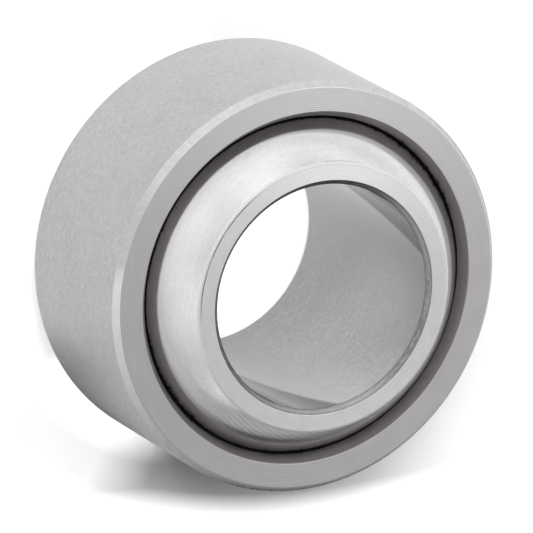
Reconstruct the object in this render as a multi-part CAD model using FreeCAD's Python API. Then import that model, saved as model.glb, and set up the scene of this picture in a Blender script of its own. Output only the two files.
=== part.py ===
import FreeCAD, Part
import math
import os

# Lined spherical plain bearing. Millimetres. The bore runs along Z and the origin is the centre of the ball.

# Inner ring: a ball cut flat at both ends, with a plain bore through it.
# The land is the flat that is left at each end, between the bore's chamfer and the ball's edge break.
BORE_DIAMETER = 19.05
BALL_WIDTH = 22.225
END_LAND = 1.292
BORE_CHAMFER = 0.42
BALL_EDGE_BREAK = 0.10

# Running gap between the ball and the liner, measured along a radius of the ball.
RUNNING_CLEARANCE = 0.02

# Liner: a thin woven sheet that lines the spherical race.
LINER_THICKNESS = 0.28
LINER_TRIM = 0.06

# Film of adhesive between the liner and the race.
BOND_FILM = 0.01

# Outer ring: a plain cylinder outside and a spherical race inside, with a flared mouth at each end.
# The wall is the ring's thickness at mid-width, where the race is deepest.
RING_WIDTH = 16.0
RING_WALL = 1.2775
RING_CHAMFER_RADIAL = 0.46
RING_CHAMFER_AXIAL = 0.60
MOUTH_DEPTH = 0.91
MOUTH_FLARE = 0.36
MOUTH_EDGE_BREAK = 0.06

# The ball is as large as its two ends need: 31.75 across.
BALL_END_RADIUS = BORE_DIAMETER / 2 + BORE_CHAMFER + END_LAND + BALL_EDGE_BREAK
BALL_RADIUS = math.hypot(BALL_END_RADIUS, BALL_WIDTH / 2)

# Radii of the other nested surfaces, from the ball outward. The ring comes out 34.925 across.
LINER_INNER_RADIUS = BALL_RADIUS + RUNNING_CLEARANCE
LINER_OUTER_RADIUS = LINER_INNER_RADIUS + LINER_THICKNESS
RACE_RADIUS = LINER_OUTER_RADIUS + BOND_FILM
RING_RADIUS = RACE_RADIUS + RING_WALL

# The race ends where the flared mouths begin, and the liner is trimmed just short of that edge.
RACE_HALF_WIDTH = RING_WIDTH / 2 - MOUTH_DEPTH
LINER_HALF_ANGLE = math.asin(RACE_HALF_WIDTH / RACE_RADIUS) - LINER_TRIM / RACE_RADIUS

FULL_TURN = 360.0
ORIGIN = FreeCAD.Vector(0, 0, 0)
AXIS = FreeCAD.Vector(0, 0, 1)


def at(radius, height):
    """A point of a half section, in the XZ plane."""
    return FreeCAD.Vector(radius, 0, height)


def on_sphere(sphere_radius, height):
    """The section point of a sphere about the origin at a given height."""
    return at(math.sqrt(sphere_radius ** 2 - height ** 2), height)


def at_angle(sphere_radius, angle):
    """The section point of a sphere about the origin at an angle above the equator."""
    return at(sphere_radius * math.cos(angle), sphere_radius * math.sin(angle))


def line(start, end):
    return Part.LineSegment(start, end).toShape()


def sphere_arc(sphere_radius, start, end):
    """The arc from start to end on a sphere about the origin, by way of the equator."""
    return Part.Arc(start, at(sphere_radius, 0), end).toShape()


def turned(edges):
    """The solid that a closed half section sweeps in one turn about the bore's axis."""
    face = Part.Face(Part.Wire(edges))
    solid = face.revolve(ORIGIN, AXIS, FULL_TURN)
    if solid.Volume < 0:
        solid.reverse()
    return solid


def make_inner_ring():
    """Ball with flat ends. Each end has a chamfered bore and a small break at the ball's edge."""
    end = BALL_WIDTH / 2
    bore = BORE_DIAMETER / 2
    flat_edge = BALL_END_RADIUS - BALL_EDGE_BREAK
    ball_top = on_sphere(BALL_RADIUS, end - BALL_EDGE_BREAK)
    ball_bottom = on_sphere(BALL_RADIUS, BALL_EDGE_BREAK - end)
    section = [
        sphere_arc(BALL_RADIUS, ball_bottom, ball_top),
        line(ball_top, at(flat_edge, end)),
        line(at(flat_edge, end), at(bore + BORE_CHAMFER, end)),
        line(at(bore + BORE_CHAMFER, end), at(bore, end - BORE_CHAMFER)),
        line(at(bore, end - BORE_CHAMFER), at(bore, BORE_CHAMFER - end)),
        line(at(bore, BORE_CHAMFER - end), at(bore + BORE_CHAMFER, -end)),
        line(at(bore + BORE_CHAMFER, -end), at(flat_edge, -end)),
        line(at(flat_edge, -end), ball_bottom),
    ]
    return turned(section)


def make_liner():
    """Spherical band of fabric, trimmed square to its own thickness at both edges."""
    inner_top = at_angle(LINER_INNER_RADIUS, LINER_HALF_ANGLE)
    inner_bottom = at_angle(LINER_INNER_RADIUS, -LINER_HALF_ANGLE)
    outer_top = at_angle(LINER_OUTER_RADIUS, LINER_HALF_ANGLE)
    outer_bottom = at_angle(LINER_OUTER_RADIUS, -LINER_HALF_ANGLE)
    section = [
        sphere_arc(LINER_INNER_RADIUS, inner_bottom, inner_top),
        line(inner_top, outer_top),
        sphere_arc(LINER_OUTER_RADIUS, outer_top, outer_bottom),
        line(outer_bottom, inner_bottom),
    ]
    return turned(section)


def ring_end(side):
    """One end of the outer ring's section, from the race's edge to the outside: side is 1 or -1."""
    end = side * RING_WIDTH / 2
    race_edge = on_sphere(RACE_RADIUS, side * RACE_HALF_WIDTH)
    mouth = race_edge.x + MOUTH_FLARE
    corners = [
        race_edge,
        at(mouth, end - side * MOUTH_EDGE_BREAK),
        at(mouth + MOUTH_EDGE_BREAK, end),
        at(RING_RADIUS - RING_CHAMFER_RADIAL, end),
        at(RING_RADIUS, end - side * RING_CHAMFER_AXIAL),
    ]
    return [line(start, stop) for start, stop in zip(corners, corners[1:])]


def make_outer_ring():
    """Ring with a plain chamfered outside, flared mouths and the spherical race between them."""
    chamfer_foot = RING_WIDTH / 2 - RING_CHAMFER_AXIAL
    race_top = on_sphere(RACE_RADIUS, RACE_HALF_WIDTH)
    race_bottom = on_sphere(RACE_RADIUS, -RACE_HALF_WIDTH)
    race = sphere_arc(RACE_RADIUS, race_bottom, race_top)
    outside = line(at(RING_RADIUS, chamfer_foot), at(RING_RADIUS, -chamfer_foot))
    return turned([race, *ring_end(1), outside, *reversed(ring_end(-1))])


PIECES = {
    "outer_ring": make_outer_ring,
    "liner": make_liner,
    "inner_ring": make_inner_ring,
}

os.makedirs("parts", exist_ok=True)
for name, make in PIECES.items():
    make().exportStep(os.path.join("parts", name + ".step"))
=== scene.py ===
import bpy
import math
import random
from mathutils import Matrix, Vector, noise


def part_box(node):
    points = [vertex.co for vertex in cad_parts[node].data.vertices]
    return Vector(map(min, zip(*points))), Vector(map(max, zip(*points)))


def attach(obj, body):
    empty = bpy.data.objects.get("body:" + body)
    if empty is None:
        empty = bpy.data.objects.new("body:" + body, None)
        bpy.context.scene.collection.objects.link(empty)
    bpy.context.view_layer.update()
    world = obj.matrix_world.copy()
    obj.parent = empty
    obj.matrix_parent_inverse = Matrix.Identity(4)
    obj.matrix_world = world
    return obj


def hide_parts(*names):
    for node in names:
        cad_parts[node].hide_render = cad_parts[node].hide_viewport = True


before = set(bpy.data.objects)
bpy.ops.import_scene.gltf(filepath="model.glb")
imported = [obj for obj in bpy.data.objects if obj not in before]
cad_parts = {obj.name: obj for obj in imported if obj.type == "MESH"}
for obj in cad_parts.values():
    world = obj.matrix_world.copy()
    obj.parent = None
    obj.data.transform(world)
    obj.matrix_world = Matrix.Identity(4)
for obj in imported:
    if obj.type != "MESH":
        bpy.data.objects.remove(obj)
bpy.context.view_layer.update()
scene = bpy.context.scene
scene.view_settings.view_transform = "Standard"

MM = 0.001
TURN = 2 * math.pi


def cad_reach(name):
    """How far a node of the CAD reaches from the centre, along X and along Z, in millimetres."""
    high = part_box(name)[1]
    return round(high.x / MM, 4), round(high.z / MM, 4)


# Sizes of the bearing, in millimetres. The bore runs along Z and the origin is the ball's centre.
RING_RADIUS, RING_HALF_WIDTH = cad_reach("outer_ring")
BALL_HALF_WIDTH = cad_reach("inner_ring")[1]
BORE_RADIUS = 9.525
BORE_CHAMFER = 0.42
BORE_EDGE_ROUND = 0.05
RING_WALL = 1.2775
BOND_FILM = 0.01
LINER_THICKNESS = 0.28
RUNNING_GAP = 0.02
RACE_RADIUS = RING_RADIUS - RING_WALL
LINER_OUTER_RADIUS = RACE_RADIUS - BOND_FILM
LINER_INNER_RADIUS = LINER_OUTER_RADIUS - LINER_THICKNESS
BALL_RADIUS = LINER_INNER_RADIUS - RUNNING_GAP
BALL_END_RADIUS = math.sqrt(BALL_RADIUS ** 2 - BALL_HALF_WIDTH ** 2)

# The rounding between the ball's sphere and its end.
BALL_EDGE_DEPTH = 0.16
BALL_EDGE_ROUND = 0.38
BALL_EDGE_MIDDLE = 11.31

# The ring's ends: a chamfer outside, and a mouth inside that narrows to a lip over the liner.
RING_CHAMFER_RADIAL = 0.46
RING_CHAMFER_AXIAL = 0.60
FACE_EDGE_ROUND = 0.09
OUTSIDE_EDGE_ROUND = 0.08
MOUTH_RADIUS = 14.910
MOUTH_DEPTH = 0.91
MOUTH_EDGE_BREAK = 0.06
MOUTH_EDGE_ROUND = 0.03
LIP_RADIUS = 14.385
LIP_THICKNESS = 0.06
RACE_HALF_WIDTH = RING_HALF_WIDTH - MOUTH_DEPTH
RACE_CUT_SHORT = 0.08
LIP_HEIGHT = RACE_HALF_WIDTH - 0.02
LINER_HALF_WIDTH = 6.88

# The liner's cut edge: its slant and crown across the liner's thickness, the height and the number of its
# bumps, how much of the liner's width it takes, and the loose fibres on it as (side, count).
LINER_EDGE_SLANT = 0.06
LINER_EDGE_CROWN = 0.03
LINER_EDGE_BUMP = 0.12
LINER_EDGE_FINE = 0.07
BUMPS_PER_RADIAN = 42.0
FINE_PER_RADIAN = 110.0
CLUMPS_PER_RADIAN = 34.0
LINER_EDGE_BAND = 0.3
FIBRE_SEED = 17
FIBRE_COUNTS = ((1, 4200), (-1, 800))
FIBRE_TAPER = 0.22
FIBRE_STEPS = 3
FIBRE_SIDES = 3

# How finely the pieces are divided.
LATHE_SEGMENTS = 512
RACE_STEPS = 40
SPHERE_STEPS = 96
ROUND_STEPS = 8
LINER_SEGMENTS = 1440
LINER_ROWS = 12
LINER_EDGE_ROWS = 5

# A round takes at most this share of the sides next to it, and has an extra point this far beside it.
ROUND_SHARE = 0.45
FLAT_GUARD = 0.03

# Azimuths at which the liner's cut edge frays most, and the wear that the photograph shows.
FRAYED_AZIMUTHS = (172, -25)
CHAMFER_PITS = [((-3.31, -16.88, 7.75), 0.12), ((-12.4, -11.9, 7.7), 0.08), ((9.6, -14.3, 7.7), 0.07)]
OUTSIDE_PITS = [
    ((-9.135, -14.882, -5.256), 0.16),
    ((1.9, -17.36, 2.4), 0.08),
    ((10.6, -13.88, -1.2), 0.07),
    ((-14.1, -10.30, 1.6), 0.07),
    ((6.2, -16.32, 5.1), 0.06),
    ((13.9, 10.57, 3.0), 0.08),
    ((-9.3, 14.78, -2.2), 0.09),
    ((2.6, 17.27, 4.2), 0.07),
]

# Marks of the tools: the pitch of the rings turned on two surfaces, and of the strokes low on the ball.
RING_FACE_PITCH = 0.175
BORE_EDGE_PITCH = 0.42
STROKE_WAY = (0.57, -0.25, -0.78)
STROKE_PITCH = 0.45

# Fine dark lines round the ball, each as (radius, width, azimuth, reach in degrees).
SPHERE_LINE = (11.50, 0.05, -155, 11)
END_LINE = (11.20, 0.06, -86, 34)

# The radii at which the dark burr and the painted shade on the outer edge of the ring's chamfer begin,
# and where both are full.
BURR_START = RING_RADIUS - 0.3225
EDGE_SHADE_START = RING_RADIUS - 0.2825
EDGE_FULL = RING_RADIUS - 0.1025

# How many times finer each layer of a noise is than the one before.
NOISE_LACUNARITY = 2.17

# Colours of the metal, of the marks on it and of painted shade.
RING_STEEL = (0.565, 0.551, 0.557)
BALL_STEEL = (0.645, 0.638, 0.641)
MOUTH_DULL = (0.300, 0.278, 0.282)
MOUTH_BRIGHT = (0.400, 0.375, 0.379)
MOUTH_SHADOW = (0.05, 0.045, 0.045)
BURR_AND_SHADE_COLOUR = (0.12, 0.11, 0.11)
LINE_COLOUR = (0.10, 0.095, 0.095)
THREAD_DARK = (0.002, 0.002, 0.002)
THREAD_LIGHT = (0.012, 0.011, 0.011)

# The floor: its white, the grey of its two patches of painted shade, and the glows that keep it white
# for the camera.
# BEHIND_GLOW is seen in reflections only. The front glow starts outside a circle round SHADOW_CENTRE.
FLOOR_Z = -BALL_HALF_WIDTH * MM
FLOOR_REACH = 3.0
FLOOR_WHITE = 0.9
FLOOR_SHADE_GREY = 0.25
FLOOR_GLOW = 0.05
SIDE_GLOW = 0.62
FRONT_GLOW = 0.7
FAR_GLOW = 0.75
NEAR_GLOW = 0.16
TUCKED_GLOW = 0.47
RIGHT_GLOW = 0.13
BEHIND_GLOW = 0.36
SHADOW_CENTRE = (-36.0, -9.75, -BALL_HALF_WIDTH)

# Where on the floor each patch and glow begins and is full, in millimetres: BESIDE_SHADOW is measured from
# SHADOW_CENTRE and the others from the bore's axis.
FAR_PATCH_INNER = (28, 45)
FAR_PATCH_OUTER = (110, 55)
NEAR_PATCH = (27, 23)
BESIDE_SHADOW = (59.5, 61.4)
TUCKED_IN = (20.5, 18.3)
BEHIND = (45, 90)

# The bright disc inside the bore: white for the camera. For reflections it is brightest at one spot, and
# slightly brighter on one side than on the other.
BORE_WHITE = 1.2
BORE_GLOW = 0.82
BORE_SPOT_GLOW = 0.14
BORE_SPOT = (2.5, 1.5, -BALL_HALF_WIDTH)
BORE_SLANT = (-0.022, 0.0017, 0.0)

# The lighting, with angles in degrees. Each card is (azimuth, elevation, sharpness, strength).
WORLD_LIGHT = 0.07
CARDS = [
    (0, 14, 12, 0.60),
    (15, 6, 24, 0.5),
    (90, 14, 12, 0.77),
    (270, 14, 12, 0.86),
    (270, 68, 10, 0.35),
    (120, 5, 16, 1.3),
    (150, 5, 16, 1.0),
    (180, 5, 16, 1.02),
    (210, 5, 16, 0.95),
    (240, 5, 16, 0.76),
    (270, 5, 16, 0.25),
    (300, 5, 16, 0.68),
    (330, 5, 16, 0.60),
    (225, 36, 12, 1.19),
    (315, 36, 12, 1.02),
    (120, 62, 10, 0.80),
    (240, 62, 10, 1.0),
    (340, 62, 10, 0.3),
]

# The main light is (azimuth, elevation, spread, strength).
KEY = (243, 57, 26, 2.8)

# Each softbox is (name, azimuth, elevation, distance, width, height, radiance), with sizes in millimetres.
SOFTBOXES = [
    ("box_face", 129, 61.5, 120, 46, 46, 0.85),
    ("box_right", 165, 50, 125, 50, 50, 3.35),
]

# The photograph's view: a long lens, 59 degrees above the end face, turned so that +Z points right and down.
CAMERA_RIGHT = Vector((-0.49239, 0.74902, 0.44331))
CAMERA_UP = Vector((-0.87037, -0.42368, -0.25089))
CAMERA_BACK = Vector((-0.0001, -0.50938, 0.86054))
CAMERA_AT = Vector((0.0, -413.166, 698.571)) * MM
SENSOR_MM = 36.0
LENS_MM = 662.337
CLIP_END = 20.0


def rounded(corners):
    """A closed section with its corners rounded. Each corner is (r, z, radius of its round).

    The extra point beside each round keeps the shading of the flats flat.
    """
    points = []
    count = len(corners)
    for i, corner in enumerate(corners):
        here = Vector(corner[:2])
        size = corner[2]
        if size <= 0:
            points.append(tuple(here))
            continue
        before = Vector(corners[i - 1][:2]) - here
        after = Vector(corners[(i + 1) % count][:2]) - here
        to_before, to_after = before.normalized(), after.normalized()
        half = to_before.angle(to_after) / 2
        back = min(size / math.tan(half), ROUND_SHARE * before.length, ROUND_SHARE * after.length)
        start, end = here + to_before * back, here + to_after * back
        centre = here + (to_before + to_after).normalized() * (back / math.cos(half))
        if before.length > 2 * back + 3 * FLAT_GUARD:
            points.append(tuple(start + to_before * FLAT_GUARD))
        spoke = start - centre
        sweep = spoke.angle_signed(end - centre)
        for k in range(ROUND_STEPS + 1):
            angle = -sweep * k / ROUND_STEPS
            c, s = math.cos(angle), math.sin(angle)
            points.append(tuple(centre + Vector((spoke.x * c - spoke.y * s, spoke.x * s + spoke.y * c))))
        if after.length > 2 * back + 3 * FLAT_GUARD:
            points.append(tuple(end + to_after * FLAT_GUARD))
    return points


def mesh_object(name, verts, faces):
    """A smoothly shaded object made of these points and faces, in the scene."""
    mesh = bpy.data.meshes.new(name)
    mesh.from_pydata(verts, [], faces)
    mesh.validate()
    mesh.polygons.foreach_set("use_smooth", [True] * len(mesh.polygons))
    obj = bpy.data.objects.new(name, mesh)
    scene.collection.objects.link(obj)
    return obj


def lathe(name, section):
    """A closed section turned about Z. The section runs so that its faces point outward."""
    verts, faces = [], []
    rows = len(section)
    for s in range(LATHE_SEGMENTS):
        a = TURN * s / LATHE_SEGMENTS
        x, y = math.cos(a) * MM, math.sin(a) * MM
        verts += [(r * x, r * y, z * MM) for r, z in section]
    for s in range(LATHE_SEGMENTS):
        t = (s + 1) % LATHE_SEGMENTS
        for k in range(rows):
            m = (k + 1) % rows
            faces.append((s * rows + k, t * rows + k, t * rows + m, s * rows + m))
    return mesh_object(name, verts, faces)


def arc(radius, start, end, steps):
    """Corners along a circle about the origin, from one height to the other by way of the equator."""
    a, b = math.asin(start / radius), math.asin(end / radius)
    angles = [a + (b - a) * k / steps for k in range(steps + 1)]
    return [(radius * math.cos(angle), radius * math.sin(angle), 0) for angle in angles]


def mirrored(corners):
    """The same corners at the other end of the bearing."""
    return [(r, -z, size) for r, z, size in corners]


def ring_section():
    """The outer ring's half section: the race, then its lower end, its outside and its upper end."""
    race_end = RACE_HALF_WIDTH - RACE_CUT_SHORT
    upper = [
        (LIP_RADIUS, LIP_HEIGHT - LIP_THICKNESS, 0),
        (LIP_RADIUS, LIP_HEIGHT, 0),
        (MOUTH_RADIUS, RING_HALF_WIDTH - MOUTH_EDGE_BREAK, MOUTH_EDGE_ROUND),
        (MOUTH_RADIUS + MOUTH_EDGE_BREAK, RING_HALF_WIDTH, MOUTH_EDGE_ROUND),
        (RING_RADIUS - RING_CHAMFER_RADIAL, RING_HALF_WIDTH, FACE_EDGE_ROUND),
        (RING_RADIUS, RING_HALF_WIDTH - RING_CHAMFER_AXIAL, OUTSIDE_EDGE_ROUND),
    ]
    race = arc(RACE_RADIUS, race_end, -race_end, RACE_STEPS)
    return rounded(race + mirrored(upper) + upper[::-1])


def ball_section():
    """The ball's half section: the sphere, then its upper end, the bore and its lower end."""
    sphere_end = BALL_HALF_WIDTH - BALL_EDGE_DEPTH
    upper = [
        (BALL_END_RADIUS, BALL_HALF_WIDTH, BALL_EDGE_ROUND),
        (BORE_RADIUS + BORE_CHAMFER, BALL_HALF_WIDTH, BORE_EDGE_ROUND),
        (BORE_RADIUS, BALL_HALF_WIDTH - BORE_CHAMFER, BORE_EDGE_ROUND),
    ]
    sphere = arc(BALL_RADIUS, -sphere_end, sphere_end, SPHERE_STEPS)
    return rounded(sphere + upper + [(BORE_RADIUS, 0, 0)] + mirrored(upper)[::-1])


def split(obj, materials, region):
    """Gives each face of a turned mesh the material of its region, by its middle's radius and height."""
    names = list(materials)
    for name in names:
        obj.data.materials.append(materials[name])
    for face in obj.data.polygons:
        middle = face.center / MM
        face.material_index = names.index(region(math.hypot(middle.x, middle.y), abs(middle.z)))


def ring_region(r, z):
    """Which surface of the ring a face belongs to. The limits lie a little inside each edge."""
    if r > RING_RADIUS - 0.01 or (r > RING_RADIUS - 0.06 and z < RING_HALF_WIDTH - RING_CHAMFER_AXIAL):
        return "outside"
    if r > RING_RADIUS - RING_CHAMFER_RADIAL + 0.01:
        return "chamfer"
    if z > RING_HALF_WIDTH - 0.02:
        return "face"
    return "mouth" if z > RACE_HALF_WIDTH - 0.01 else "race"


def ball_region(r, z):
    """Which surface of the ball a face belongs to. The limits lie a little inside each edge."""
    if r < BORE_RADIUS + 0.004:
        return "bore"
    if r < BORE_RADIUS + BORE_CHAMFER and z > BALL_HALF_WIDTH - BORE_CHAMFER - 0.02:
        return "bore_edge"
    if r > BALL_EDGE_MIDDLE - 0.15 and z > BALL_HALF_WIDTH - BALL_EDGE_DEPTH + 0.02:
        return "rounding"
    return "end" if z > BALL_HALF_WIDTH - 0.01 else "sphere"


def frayed(a, side):
    """How ragged the liner's cut edge is at an angle: some stretches are clean, others fray."""
    reach = noise.noise(Vector((1.7 * math.cos(a), 1.7 * math.sin(a), 5.0 * side + 2.0)))
    worst = max(math.cos(a - math.radians(azimuth)) for azimuth in FRAYED_AZIMUTHS)
    return min(1.0, max(0.12, 0.30 + 0.8 * reach + 5.0 * max(0.0, worst - 0.85)))


def edge_point(a, across, side, lift):
    """A point on the liner's cut edge: across is 0 at its inner surface and 1 at its outer one."""
    radius = LINER_INNER_RADIUS + across * (LINER_OUTER_RADIUS - LINER_INNER_RADIUS)
    z = LINER_HALF_WIDTH + LINER_EDGE_SLANT * across + lift
    r = math.sqrt(radius * radius - z * z)
    return Vector((r * math.cos(a), r * math.sin(a), side * z))


def woven_liner():
    """The liner's shell. Its two cut edges are uneven, where threads of the weave end."""
    verts, faces = [], []
    for s in range(LINER_SEGMENTS):
        a = TURN * s / LINER_SEGMENTS
        way = Vector((math.cos(a), math.sin(a), 0))
        for side in (1, -1):
            for k in range(LINER_EDGE_ROWS):
                across = k / (LINER_EDGE_ROWS - 1)
                bump = noise.noise(way * BUMPS_PER_RADIAN + Vector((0, 0, 9 * side + 1.3 * k)))
                fine = noise.noise(way * FINE_PER_RADIAN + Vector((0, 0, 7 * side - 2.1 * k)))
                uneven = frayed(a, side) * (LINER_EDGE_BUMP * bump + LINER_EDGE_FINE * fine)
                lift = uneven + LINER_EDGE_CROWN * math.sin(math.pi * across)
                verts.append(tuple(edge_point(a, across, side, lift) * MM))
        for radius in (LINER_INNER_RADIUS, LINER_OUTER_RADIUS):
            for k in range(1, LINER_ROWS):
                z = (LINER_HALF_WIDTH - LINER_EDGE_BAND) * (1 - 2 * k / LINER_ROWS)
                r = math.sqrt(radius * radius - z * z)
                verts.append((r * way.x * MM, r * way.y * MM, z * MM))
    walls = LINER_ROWS - 1
    rows = 2 * LINER_EDGE_ROWS + 2 * walls
    upper = list(range(LINER_EDGE_ROWS))
    lower = list(range(LINER_EDGE_ROWS, 2 * LINER_EDGE_ROWS))
    inside = list(range(2 * LINER_EDGE_ROWS, 2 * LINER_EDGE_ROWS + walls))
    outside = list(range(2 * LINER_EDGE_ROWS + walls, rows))
    loop = upper + outside + lower[::-1] + inside[::-1]
    for s in range(LINER_SEGMENTS):
        t = (s + 1) % LINER_SEGMENTS
        for k, here in enumerate(loop):
            after = loop[(k + 1) % len(loop)]
            faces.append((s * rows + here, s * rows + after, t * rows + after, t * rows + here))
    return mesh_object("liner_woven", verts, faces)


def tube(verts, faces, spine, thick, across, other):
    """Adds a thin closed tube along the points of a spine. It narrows toward its end."""
    base = len(verts)
    for k, middle in enumerate(spine):
        size = thick * (1 - FIBRE_TAPER * k)
        for j in range(FIBRE_SIDES):
            turn = TURN * j / FIBRE_SIDES
            verts.append(tuple((middle + (across * math.cos(turn) + other * math.sin(turn)) * size) * MM))
    for k in range(FIBRE_STEPS):
        low = base + FIBRE_SIDES * k
        high = low + FIBRE_SIDES
        for j in range(FIBRE_SIDES):
            m = (j + 1) % FIBRE_SIDES
            faces.append((low + j, low + m, high + m, high + j))
    tip = base + FIBRE_SIDES * FIBRE_STEPS
    faces.append(tuple(base + j for j in reversed(range(FIBRE_SIDES))))
    faces.append(tuple(tip + j for j in range(FIBRE_SIDES)))


def frayed_fibres():
    """Loose ends of the weave's threads along both cut edges, as thin bent tubes."""
    rng = random.Random(FIBRE_SEED)
    verts, faces = [], []
    for side, count in FIBRE_COUNTS:
        up = Vector((0, 0, side))
        for _ in range(count):
            a = rng.uniform(0, TURN)
            loose = frayed(a, side)
            if rng.random() > loose:
                continue
            way = Vector((math.cos(a), math.sin(a), 0))
            round_it = Vector((-way.y, way.x, 0))
            start = way * (LIP_RADIUS - rng.uniform(-0.02, 0.13)) + up * (LIP_HEIGHT - 0.05)
            rise = rng.uniform(0.4, 1.2)
            aside = round_it * rng.uniform(-0.8, 0.8)
            head = (aside + way * rise * rng.uniform(-0.45, 0.6) + up * rise).normalized()
            bend = round_it * rng.uniform(-1, 1) + up * rng.uniform(-0.6, 0.3)
            clump = max(0.3, 0.85 + 0.9 * noise.noise(way * CLUMPS_PER_RADIAN + up * 4))
            length = loose * clump * rng.uniform(0.08, 0.38)
            thick = rng.uniform(0.014, 0.032)
            shares = [k / FIBRE_STEPS for k in range(FIBRE_STEPS + 1)]
            spine = [start + head * (length * share) + bend * (0.4 * length * share ** 2) for share in shares]
            across = head.cross(way).normalized() if head.cross(way).length > 0.1 else round_it
            tube(verts, faces, spine, thick, across, head.cross(across).normalized())
    return mesh_object("liner_fibres", verts, faces)


def node(tree, kind, inputs, output=0, **settings):
    """Adds a shader node; inputs are sockets to link or values to set. Returns the output socket."""
    made = tree.nodes.new("ShaderNode" + kind)
    for key, value in settings.items():
        setattr(made, key, value)
    for key, value in inputs.items():
        if isinstance(value, bpy.types.NodeSocket):
            tree.links.new(value, made.inputs[key])
        else:
            made.inputs[key].default_value = value
    return made.outputs[output]


def maths(tree, operation, a, b=0.0, c=0.0):
    return node(tree, "Math", {0: a, 1: b, 2: c}, operation=operation)


def times(tree, a, b):
    return maths(tree, "MULTIPLY", a, b)


def direction(azimuth, elevation=0):
    """The unit vector toward an azimuth and an elevation, both in degrees."""
    a, e = math.radians(azimuth), math.radians(elevation)
    return Vector((math.cos(a) * math.cos(e), math.sin(a) * math.cos(e), math.sin(e)))


class Turned:
    """A turned part's own coordinates for its textures, in millimetres: height, radius and the way round."""

    def __init__(self, tree):
        self.tree = tree
        place = node(tree, "TexCoord", {}, "Object")
        self.place = node(tree, "VectorMath", {0: place, 3: 1 / MM}, operation="SCALE")
        x, y, self.z = node(tree, "SeparateXYZ", {0: self.place}).node.outputs
        flat = node(tree, "CombineXYZ", {0: x, 1: y})
        self.r = node(tree, "VectorMath", {0: flat}, "Value", operation="LENGTH")
        self.way = node(tree, "VectorMath", {0: flat}, operation="NORMALIZE")

    def lay(self, radius, along, across, across_of):
        """Noise stretched round the axis: features are this long round the part and this wide across it."""
        c = radius / along
        rise = maths(self.tree, "DIVIDE", across_of, across)
        lift = node(self.tree, "CombineXYZ", {2: rise})
        return node(self.tree, "VectorMath", {0: self.way, 1: (c, c, c), 2: lift}, operation="MULTIPLY_ADD")

    def noise(self, vector, scale=1.0, detail=2.0, roughness=0.5):
        """Noise from 0 to 1 at these coordinates."""
        settings = {"Vector": vector, "Scale": scale, "Detail": detail, "Roughness": roughness}
        settings["Lacunarity"] = NOISE_LACUNARITY
        return node(self.tree, "TexNoise", settings)

    def mixed(self, *parts):
        """Noises added up round a middle of 0.5, each with its own weight."""
        total = 0.5
        for value, weight in parts:
            total = maths(self.tree, "MULTIPLY_ADD", maths(self.tree, "SUBTRACT", value, 0.5), weight, total)
        return total

    def ramp(self, value, low, high, to_low=0.0, to_high=1.0):
        """Goes from to_low to to_high while a value goes from low to high, and holds still beyond them."""
        return node(self.tree, "MapRange", {0: value, 1: low, 2: high, 3: to_low, 4: to_high})

    def along(self, way):
        """How far a place lies along a direction."""
        return node(self.tree, "VectorMath", {0: self.place, 1: way}, "Value", operation="DOT_PRODUCT")

    def distance(self, spot):
        """How far a place lies from a spot."""
        return node(self.tree, "VectorMath", {0: self.place, 1: spot}, "Value", operation="DISTANCE")

    def toward(self, azimuth):
        """1 on the side that faces this azimuth, falling to -1 opposite."""
        ends = {0: self.way, 1: direction(azimuth)}
        return node(self.tree, "VectorMath", ends, "Value", operation="DOT_PRODUCT")

    def beside(self, radius, far, near):
        """1 round this radius, falling to 0 between these two distances from it."""
        off = maths(self.tree, "ABSOLUTE", maths(self.tree, "SUBTRACT", self.r, radius))
        return self.ramp(off, far, near)

    def trace(self, radius, width, azimuth, reach):
        """A fine line round the upper side at this radius, out to so many degrees from its azimuth."""
        near, far = math.cos(math.radians(0.6 * reach)), math.cos(math.radians(reach))
        here = times(self.tree, self.ramp(self.toward(azimuth), far, near), self.ramp(self.z, 0.0, 0.5))
        return times(self.tree, self.beside(radius, width, 0.3 * width), here)

    def turns(self, pitch, sway):
        """The rings that a turning tool leaves across the radius, from 0 to 1. sway shifts them."""
        wave = maths(self.tree, "MULTIPLY_ADD", self.r, TURN / pitch, sway)
        return maths(self.tree, "MULTIPLY_ADD", maths(self.tree, "SINE", wave), 0.5, 0.5)

    def pitted(self, height, pits):
        """A height with small pits in it, each given by its place and its size."""
        for spot, size in pits:
            pit = self.ramp(self.distance(spot), size, 0.4 * size)
            height = maths(self.tree, "SUBTRACT", height, pit)
        return height


def blank(name, metallic=1.0, roughness=0.5, anisotropy=0.0):
    """A new material. Returns it with its node tree, its shader and the part's coordinates."""
    mat = bpy.data.materials.new(name)
    mat.use_nodes = True
    tree = mat.node_tree
    shader = tree.nodes["Principled BSDF"]
    shader.inputs["Metallic"].default_value = metallic
    shader.inputs["Roughness"].default_value = roughness
    shader.inputs["Anisotropic"].default_value = anisotropy
    if anisotropy:
        shader.inputs["Anisotropic Rotation"].default_value = 0.25
        tangent = node(tree, "Tangent", {}, direction_type="RADIAL", axis="Z")
        tree.links.new(tangent, shader.inputs["Tangent"])
    return mat, tree, shader, Turned(tree)


def blend_colours(tree, factor, low, high):
    """One colour where the factor is 0 and the other where it is 1. Each is a colour or a socket."""
    mix = tree.nodes.new("ShaderNodeMix")
    mix.data_type = "RGBA"
    for socket, value in zip((mix.inputs[0], mix.inputs[6], mix.inputs[7]), (factor, low, high)):
        if isinstance(value, bpy.types.NodeSocket):
            tree.links.new(value, socket)
        else:
            socket.default_value = (*value, 1)
    return mix.outputs[2]


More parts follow.
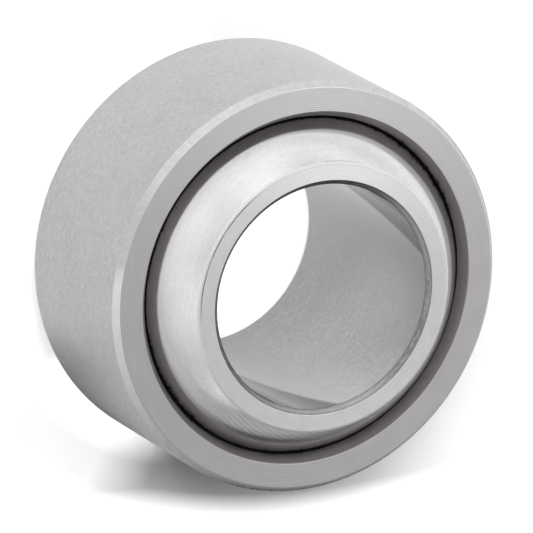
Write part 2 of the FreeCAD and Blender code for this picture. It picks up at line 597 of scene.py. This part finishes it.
def finish(tree, shader, tone, colours, bump, rough, stain=None):
    """Sets a surface's look.

    tone goes from the first of the two colours to the second, bump is (height, depth in millimetres),
    rough is (tone, lowest, highest) and stain is (where, colour).
    """
    colour = blend_colours(tree, tone, *colours)
    if stain:
        colour = blend_colours(tree, stain[0], colour, stain[1])
    tree.links.new(colour, shader.inputs["Base Color"])
    height, depth = bump
    normal = node(tree, "Bump", {"Height": height, "Strength": 1.0, "Distance": depth * MM}, "Normal")
    tree.links.new(normal, shader.inputs["Normal"])
    value, low, high = rough
    roughness = node(tree, "MapRange", {0: value, 1: 0.3, 2: 0.7, 3: low, 4: high})
    tree.links.new(roughness, shader.inputs["Roughness"])


def shade(scale, steel=RING_STEEL):
    """A steel made so many times brighter."""
    return tuple(min(1.0, scale * c) for c in steel)


def shades(low, high, steel=RING_STEEL):
    """The two ends of a steel's range of brightness."""
    return shade(low, steel), shade(high, steel)


def ground_outside():
    """Centreless ground: short streaks round the ring over a soft mottle, with a few tiny pits."""
    mat, tree, shader, part = blank("ring_ground", anisotropy=0.3)
    streak = part.noise(part.lay(RING_RADIUS, 0.7, 0.13, part.z), detail=2, roughness=0.6)
    dabs = part.noise(part.lay(RING_RADIUS, 0.34, 0.26, part.z), detail=3, roughness=0.65)
    mottle = part.noise(part.place, scale=1.6, detail=4, roughness=0.65)
    cloud = part.noise(part.place, scale=0.30, detail=2)
    tone = part.mixed((streak, 0.9), (dabs, 1.8), (mottle, 0.6), (cloud, 0.4))
    height = part.pitted(part.mixed((streak, 0.8), (dabs, 1.2)), OUTSIDE_PITS)
    finish(tree, shader, tone, shades(0.90, 1.22), (height, 0.008), (mottle, 0.38, 0.46))
    return mat


def turned_chamfer():
    """The tool has left short marks across the chamfer, and one stretch of it is brighter.

    Just before that stretch it is darker. On one side its outer edge has a dark, jagged burr that is partly
    painted shade, and on another side it has painted shade alone.
    """
    mat, tree, shader, part = blank("ring_chamfer")
    nick = part.noise(part.lay(RING_RADIUS, 0.16, 0.9, part.z), detail=2, roughness=0.6)
    mottle = part.noise(part.place, scale=2.0, detail=3)
    tone = part.mixed((nick, 1.0), (mottle, 0.5))
    height = part.pitted(tone, CHAMFER_PITS)
    start = part.toward(22)
    bright_stretch = times(tree, part.ramp(start, 0.0, 0.05), part.ramp(part.toward(-68), 0.72, 0.97))
    before = times(tree, part.ramp(start, 0.0, -0.05), part.ramp(part.toward(-75), 0.93, 0.985))
    tone = maths(tree, "MULTIPLY_ADD", before, -0.4, tone)
    # Painted shade on the outer edge: on one side mixed with a real jagged burr, on another side alone.
    burr_and_shade = times(tree, part.ramp(part.r, BURR_START, EDGE_FULL), part.ramp(part.toward(36), 0.80, 0.93))
    burr_and_shade = times(tree, burr_and_shade, part.ramp(nick, 0.42, 0.56, 0.35, 1.0))
    side_110 = part.ramp(part.r, EDGE_SHADE_START, EDGE_FULL, 0.0, 0.45)
    side_110 = times(tree, side_110, part.ramp(part.toward(110), 0.4, 0.75))
    burr_and_shade = maths(tree, "MAXIMUM", burr_and_shade, side_110)
    low = blend_colours(tree, bright_stretch, *shades(0.81, 1.14))
    high = blend_colours(tree, bright_stretch, *shades(1.22, 1.14))
    finish(tree, shader, tone, (low, high), (height, 0.005), (mottle, 0.28, 0.38), (burr_and_shade, BURR_AND_SHADE_COLOUR))
    return mat


def turned_face():
    """The end face keeps the lathe's fine rings, painted plainest where the cut crosses the light."""
    mat, tree, shader, part = blank("ring_face", anisotropy=0.2)
    sway = part.noise(part.lay(RING_RADIUS, 8.0, 2.0, part.r), detail=1)
    rings = part.turns(RING_FACE_PITCH, times(tree, sway, 2.5))
    fine = part.noise(part.lay(RING_RADIUS, 2.5, 0.07, part.r), detail=2)
    grit = part.noise(part.place, scale=5.0, detail=2, roughness=0.7)
    patch = part.noise(part.place, scale=0.5, detail=2)
    # Painted sheen: the rings' contrast follows the way the light crosses the cut.
    painted_ring_sheen = part.ramp(maths(tree, "ABSOLUTE", part.toward(15)), 0.70, 0.92, 0.12, 1.1)
    rings = part.mixed((rings, times(tree, painted_ring_sheen, part.ramp(patch, 0.35, 0.6, 0.5, 1.0))))
    tone = part.mixed((rings, 1.0), (fine, 0.7), (grit, 0.45), (patch, 0.3))
    height = part.mixed((rings, 1.0), (fine, 1.0))
    finish(tree, shader, tone, shades(0.86, 1.12), (height, 0.0022), (patch, 0.33, 0.40))
    return mat


def mouth_wall():
    """The wall of the ring's mouth, left rough and dull, with painted shade on one side and low over the lip.
    """
    mat, tree, shader, part = blank("ring_mouth")
    fine = part.noise(part.lay(MOUTH_RADIUS, 1.5, 0.10, part.z), detail=2)
    soft = part.noise(part.place, scale=0.9, detail=3)
    tone = part.mixed((fine, 1.0), (soft, 0.8))
    # Painted shade: the wall is darkened on one side, and low over the lip where the liner meets it.
    low = part.ramp(part.z, LIP_HEIGHT + 0.5, LIP_HEIGHT + 0.05)
    painted_foot_shade = times(tree, low, part.ramp(part.toward(20), 0.3, 0.8, 0.0, 0.32))
    painted_wall_shade = maths(tree, "MAXIMUM", part.ramp(part.toward(-130), 0.75, 0.97, 0.0, 0.4), painted_foot_shade)
    colours = (MOUTH_DULL, MOUTH_BRIGHT)
    finish(tree, shader, tone, colours, (fine, 0.003), (soft, 0.62, 0.72), (painted_wall_shade, MOUTH_SHADOW))
    return mat


def ground_sphere():
    """The ball's running surface: ground round the axis and polished, with slanting strokes near its end."""
    mat, tree, shader, part = blank("ball_sphere", anisotropy=0.3)
    fine = part.noise(part.lay(BALL_RADIUS, 2.2, 0.09, part.z), detail=2)
    rub = part.noise(part.lay(BALL_RADIUS, 3.5, 0.5, part.z), detail=3)
    cloud = part.noise(part.place, scale=0.45, detail=3, roughness=0.6)
    dabs = part.noise(part.place, scale=3.2, detail=3, roughness=0.65)
    tone = part.mixed((fine, 0.5), (rub, 0.3), (cloud, 0.25), (dabs, 0.5))
    wave = maths(tree, "MULTIPLY_ADD", part.along(STROKE_WAY), TURN / STROKE_PITCH, times(tree, dabs, 5.0))
    band = times(tree, part.ramp(part.z, 8.6, 9.1), part.ramp(part.z, 11.0, 10.7))
    here = times(tree, band, part.ramp(part.toward(14), 0.86, 0.95, 0.0, 0.36))
    tone = maths(tree, "MULTIPLY_ADD", maths(tree, "SINE", wave), here, tone)
    line = times(tree, part.trace(*SPHERE_LINE), 0.35)
    colours = shades(0.80, 1.18, BALL_STEEL)
    finish(tree, shader, tone, colours, (fine, 0.0004), (cloud, 0.10, 0.16), (line, LINE_COLOUR))
    return mat


def line_round_end(part):
    """The fine dark line that runs part of the way round the ball's end, fainter here and there."""
    lay = part.lay(BALL_END_RADIUS, 2.5, 9.0, part.r)
    broken = part.ramp(part.noise(lay, detail=3), 0.30, 0.45, 0.5, 1.0)
    return times(part.tree, part.trace(*END_LINE), broken)


def ground_end():
    """The ball's flat end, ground fine and bright."""
    mat, tree, shader, part = blank("ball_end", anisotropy=0.4)
    fine = part.noise(part.lay(BALL_END_RADIUS, 1.8, 0.09, part.r), detail=2)
    rub = part.noise(part.lay(BALL_END_RADIUS, 2.5, 0.4, part.r), detail=3)
    cloud = part.noise(part.place, scale=0.8, detail=3)
    tone = part.mixed((fine, 1.2), (rub, 0.5), (cloud, 0.6))
    line = line_round_end(part)
    height = maths(tree, "SUBTRACT", fine, times(tree, line, 4.0))
    colours = shades(1.14, 1.29, BALL_STEEL)
    finish(tree, shader, tone, colours, (height, 0.0015), (cloud, 0.26, 0.34), (line, LINE_COLOUR))
    return mat


def blended_edge():
    """The rounding between the ball's sphere and its end, brushed by hand, so it has no sheen of its own."""
    mat, tree, shader, part = blank("ball_rounding")
    rub = part.noise(part.lay(BALL_END_RADIUS, 1.5, 0.3, part.r), detail=3)
    cloud = part.noise(part.place, scale=0.8, detail=3)
    tone = part.mixed((rub, 0.8), (cloud, 0.6))
    middle = part.beside(BALL_EDGE_MIDDLE, 0.16, 0.04)
    colours = shades(1.04, 1.18, BALL_STEEL)
    stain = (line_round_end(part), LINE_COLOUR)
    finish(tree, shader, tone, colours, (rub, 0.0008), (middle, 0.50, 0.68), stain)
    return mat


def honed_bore():
    """The bore is polished. One side of it is mottled more, and its colour is darker toward another side."""
    mat, tree, shader, part = blank("ball_bore", anisotropy=0.2)
    fine = part.noise(part.lay(BORE_RADIUS, 1.0, 0.10, part.z), detail=2)
    dabs = part.noise(part.place, scale=4.0, detail=3, roughness=0.65)
    mottle = part.noise(part.place, scale=0.9, detail=4, roughness=0.6)
    side_110 = part.ramp(part.toward(110), 0.3, 0.95, 0.5, 2.4)
    tone = part.mixed((part.mixed((fine, 0.9), (dabs, 1.3)), side_110), (mottle, 0.6))
    height = part.mixed((fine, 1.0), (dabs, 0.5))
    darker_side = part.ramp(part.toward(155), -0.2, 1.0, 0.0, 0.9)
    colours = shades(0.71, 0.99)
    finish(tree, shader, tone, colours, (height, 0.0006), (mottle, 0.06, 0.10), (darker_side, shade(0.60)))
    return mat


def bore_edge():
    """The small chamfer at the bore's mouth, rough from the tool and darker in patches on one side."""
    mat, tree, shader, part = blank("ball_bore_edge")
    fine = part.noise(part.lay(BORE_RADIUS, 0.6, 0.10, part.z), detail=3)
    tone = part.mixed((part.turns(BORE_EDGE_PITCH, 0.45), 0.6), (fine, 1.1))
    dark_patches = times(tree, part.ramp(part.toward(98), 0.64, 0.92), part.ramp(fine, 0.40, 0.56, 0.2, 0.85))
    colours = shades(0.36, 0.82)
    finish(tree, shader, tone, colours, (fine, 0.003), (fine, 0.34, 0.46), (dark_patches, shade(0.30)))
    return mat


def fabric(name):
    """Black woven liner, matt: short threads round it in the colour, and a fine unevenness in the bump."""
    mat, tree, shader, part = blank(name, metallic=0.0)
    weave = part.noise(part.lay(LINER_OUTER_RADIUS, 0.25, 0.12, part.z), detail=3)
    fluff = part.noise(part.place, scale=9.0, detail=2)
    finish(tree, shader, weave, (THREAD_DARK, THREAD_LIGHT), (fluff, 0.05), (fluff, 0.8, 1.0))
    shader.inputs["Specular IOR Level"].default_value = 0.2
    return mat


def bearing():
    """The four visible pieces, each riding on the CAD node that it replaces."""
    ring = lathe("ring_turned", ring_section())
    ring_looks = {
        "outside": ground_outside(),
        "chamfer": turned_chamfer(),
        "face": turned_face(),
        "mouth": mouth_wall(),
        "race": mouth_wall(),
    }
    split(ring, ring_looks, ring_region)
    ball = lathe("ball_ground", ball_section())
    ball_looks = {
        "sphere": ground_sphere(),
        "end": ground_end(),
        "rounding": blended_edge(),
        "bore": honed_bore(),
        "bore_edge": bore_edge(),
    }
    split(ball, ball_looks, ball_region)
    liner = woven_liner()
    fibres = frayed_fibres()
    for obj in (liner, fibres):
        obj.data.materials.append(fabric("cloth_of_" + obj.name))
    for obj, cad_node, slot in (
        (ring, "outer_ring", "outer_ring_steel"),
        (ball, "inner_ring", "inner_ring_steel"),
        (liner, "liner", "liner_fabric"),
        (fibres, "liner", "liner_fabric"),
    ):
        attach(obj, cad_node)
        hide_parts(cad_node)


def painted_shade_patches(part):
    """The floor's two greyer patches of painted shade, which give the metal something dark to reflect."""
    tree = part.tree
    band = times(tree, part.ramp(part.r, *FAR_PATCH_INNER), part.ramp(part.r, *FAR_PATCH_OUTER, 0.4, 1.0))
    far = times(tree, band, part.ramp(part.toward(50), 0.45, 0.85))
    near = times(tree, part.ramp(part.r, *NEAR_PATCH), part.ramp(part.toward(-5), 0.848, 0.978))
    return far, near


def floor_glow(part, far, near):
    """How much brighter the camera sees the floor: white beyond the soft shadow and over the grey patches."""
    tree = part.tree
    lit_side = part.ramp(part.toward(-65), 0.10, 0.34, FLOOR_GLOW, SIDE_GLOW)
    outside_shadow = part.ramp(part.distance(SHADOW_CENTRE), *BESIDE_SHADOW)
    front = times(tree, outside_shadow, part.ramp(part.toward(15), 0.40, 0.62))
    glow = maths(tree, "MAXIMUM", times(tree, front, FRONT_GLOW), lit_side)
    glow = maths(tree, "MULTIPLY_ADD", near, NEAR_GLOW, glow)
    glow = maths(tree, "MULTIPLY_ADD", far, FAR_GLOW, glow)
    close = part.ramp(part.r, *TUCKED_IN, 0.0, TUCKED_GLOW)
    tucked = times(tree, close, part.ramp(part.toward(0), 0.906, 0.95))
    right = part.ramp(part.toward(120), 0.60, 0.80, 0.0, RIGHT_GLOW)
    return maths(tree, "ADD", maths(tree, "ADD", glow, tucked), right)


def bore_disc(part):
    """How bright the floor inside the bore is to the polished metal round it."""
    tree = part.tree
    slope = maths(tree, "MAXIMUM", maths(tree, "ADD", part.along(BORE_SLANT), BORE_GLOW), 0.0)
    return maths(tree, "ADD", slope, part.ramp(part.distance(BORE_SPOT), 5.0, 1.5, 0.0, BORE_SPOT_GLOW))


def studio_floor():
    """White diffuse floor, seen a little brighter. Inside the bore is a bright disc, as on a light table."""
    mat, tree, shader, part = blank("floor_white", metallic=0.0, roughness=0.9)
    shader.inputs["Specular IOR Level"].default_value = 0.0
    shader.inputs["Emission Color"].default_value = (1, 1, 1, 1)
    path = tree.nodes.new("ShaderNodeLightPath")
    camera, glossy = path.outputs["Is Camera Ray"], path.outputs["Is Glossy Ray"]
    inside = part.ramp(part.r, BORE_RADIUS + 0.5, BORE_RADIUS - 0.1)
    far, near = painted_shade_patches(part)
    # The grey is painted shade on the floor, for the metal to reflect.
    painted_floor_shade = maths(tree, "MAXIMUM", far, near)
    paper = blend_colours(tree, painted_floor_shade, (FLOOR_WHITE,) * 3, (FLOOR_SHADE_GREY,) * 3)
    card = blend_colours(tree, inside, paper, (0, 0, 0))
    tree.links.new(card, shader.inputs["Base Color"])
    disc = times(tree, times(tree, bore_disc(part), glossy), inside)
    glow = maths(tree, "MAXIMUM", floor_glow(part, far, near), times(tree, inside, BORE_WHITE))
    behind = part.ramp(part.r, *BEHIND, 0.0, BEHIND_GLOW)
    behind = times(tree, behind, part.ramp(part.toward(155), 0.0, 0.6))
    seen = maths(tree, "MULTIPLY_ADD", behind, glossy, times(tree, glow, camera))
    tree.links.new(maths(tree, "ADD", disc, seen), shader.inputs["Emission Strength"])
    return mat


def floor_plane():
    """A level square under the ball's end, on which the bearing stands. FLOOR_REACH is in metres."""
    corners = [(x * FLOOR_REACH, y * FLOOR_REACH, FLOOR_Z) for x, y in ((-1, -1), (1, -1), (1, 1), (-1, 1))]
    mesh = bpy.data.meshes.new("floor")
    mesh.from_pydata(corners, [], [(0, 1, 2, 3)])
    floor = bpy.data.objects.new("floor", mesh)
    scene.collection.objects.link(floor)
    floor.data.materials.append(studio_floor())


def surround():
    """The studio's soft white surround: an even base, and the broad white cards that only the metal shows."""
    world = bpy.data.worlds.new("studio")
    world.use_nodes = True
    tree = world.node_tree
    way = node(tree, "TexCoord", {}, "Generated")
    total = 0.0
    for azimuth, elevation, sharpness, strength in CARDS:
        ends = {0: way, 1: direction(azimuth, elevation)}
        facing = node(tree, "VectorMath", ends, "Value", operation="DOT_PRODUCT")
        card = maths(tree, "POWER", maths(tree, "MAXIMUM", facing, 0.0), sharpness)
        total = maths(tree, "MULTIPLY_ADD", card, strength, total)
    path = tree.nodes.new("ShaderNodeLightPath")
    total = maths(tree, "MULTIPLY_ADD", total, path.outputs["Is Glossy Ray"], WORLD_LIGHT)
    seen = node(tree, "MapRange", {0: path.outputs["Is Camera Ray"], 3: total, 4: 1.0})
    background = tree.nodes["Background"]
    background.inputs["Color"].default_value = (1, 1, 1, 1)
    tree.links.new(seen, background.inputs["Strength"])
    scene.world = world


def key_light(azimuth, elevation, spread, strength):
    """The main light, far away and this many degrees wide. At strength pi it makes a white card white."""
    data = bpy.data.lights.new("key", "SUN")
    data.angle = math.radians(spread)
    data.energy = strength
    lamp = bpy.data.objects.new("key", data)
    lamp.matrix_world = direction(azimuth, elevation).to_track_quat("Z", "Y").to_matrix().to_4x4()
    lamp.visible_glossy = False
    scene.collection.objects.link(lamp)


def softbox(name, azimuth, elevation, distance, width, height, radiance):
    """A softbox on the studio's dome, aimed at the bearing. Radiance 1 reads as white."""
    data = bpy.data.lights.new(name, "AREA")
    data.shape = "RECTANGLE"
    data.size = width * MM
    data.size_y = height * MM
    data.energy = radiance * math.pi * data.size * data.size_y
    box = bpy.data.objects.new(name, data)
    way = direction(azimuth, elevation)
    aim = way.to_track_quat("Z", "Y").to_matrix().to_4x4()
    box.matrix_world = Matrix.Translation(way * distance * MM) @ aim
    box.visible_camera = False
    scene.collection.objects.link(box)


def photo_camera():
    """The camera that took the photograph."""
    data = bpy.data.cameras.new("camera")
    data.sensor_width = SENSOR_MM
    data.lens = LENS_MM
    data.clip_end = CLIP_END
    obj = bpy.data.objects.new("camera", data)
    scene.collection.objects.link(obj)
    turn = Matrix((CAMERA_RIGHT, CAMERA_UP, CAMERA_BACK)).transposed()
    obj.matrix_world = Matrix.Translation(CAMERA_AT) @ turn.to_4x4()
    scene.camera = obj


bearing()
floor_plane()
surround()
key_light(*KEY)
for box in SOFTBOXES:
    softbox(*box)
photo_camera()
